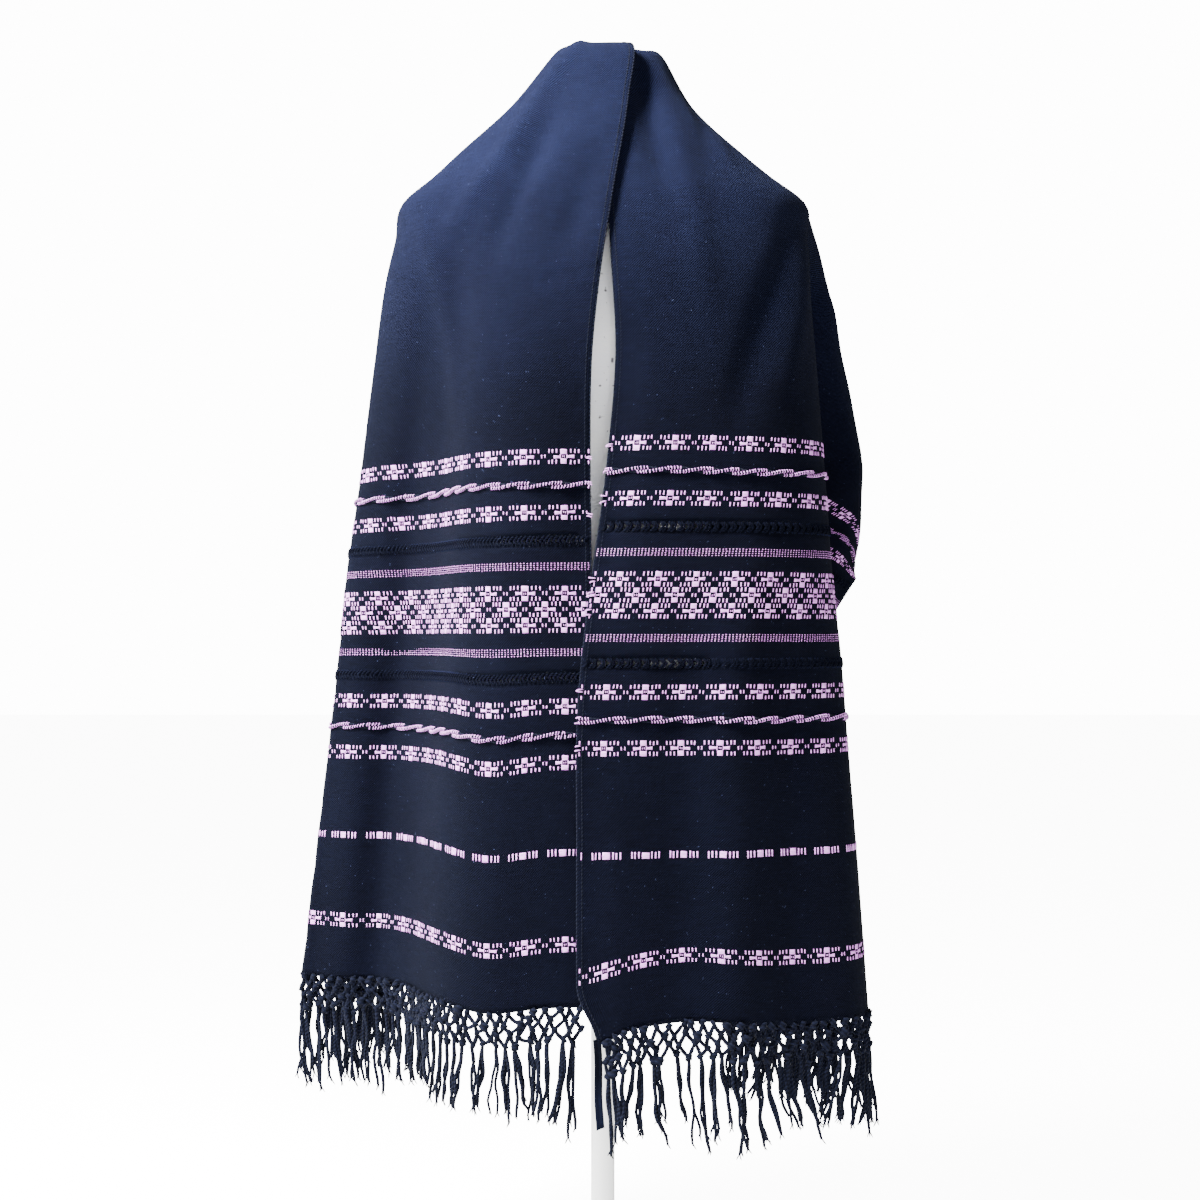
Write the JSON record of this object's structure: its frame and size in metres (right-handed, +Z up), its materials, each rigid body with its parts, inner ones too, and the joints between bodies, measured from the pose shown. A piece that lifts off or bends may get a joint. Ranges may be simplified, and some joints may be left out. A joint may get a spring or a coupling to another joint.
{
  "type": "rebozo shawl on a limbless dress form",
  "caption": "Long handwoven rebozo shawl with brocade bands and a knotted fringe, draped over the neck and shoulders of a limbless dress form on a round stand.",
  "frame": {"origin": "centre of the stand's flat underside", "axes": "+Z up along the stand's pole; +X to the right as the front is seen; the open front of the shawl faces -Y"},
  "size_m": [0.6186, 0.34, 1.3456],
  "materials": {
    "navy_cloth": "matt handwoven cotton",
    "lilac_weft": "soft cotton floats",
    "fringe_yarn": "twisted cotton yarn",
    "form_linen": "smooth pale linen",
    "stand_paint": "satin off-white"
  },
  "bodies": {
    "root": {"shawl_left_front": "navy_cloth", "shawl_back": "navy_cloth", "shawl_right_front": "navy_cloth", "fringe_left": "fringe_yarn", "fringe_right": "fringe_yarn", "form_torso": "form_linen", "form_pole": "stand_paint", "form_base": "stand_paint"}
  },
  "joints": []
}
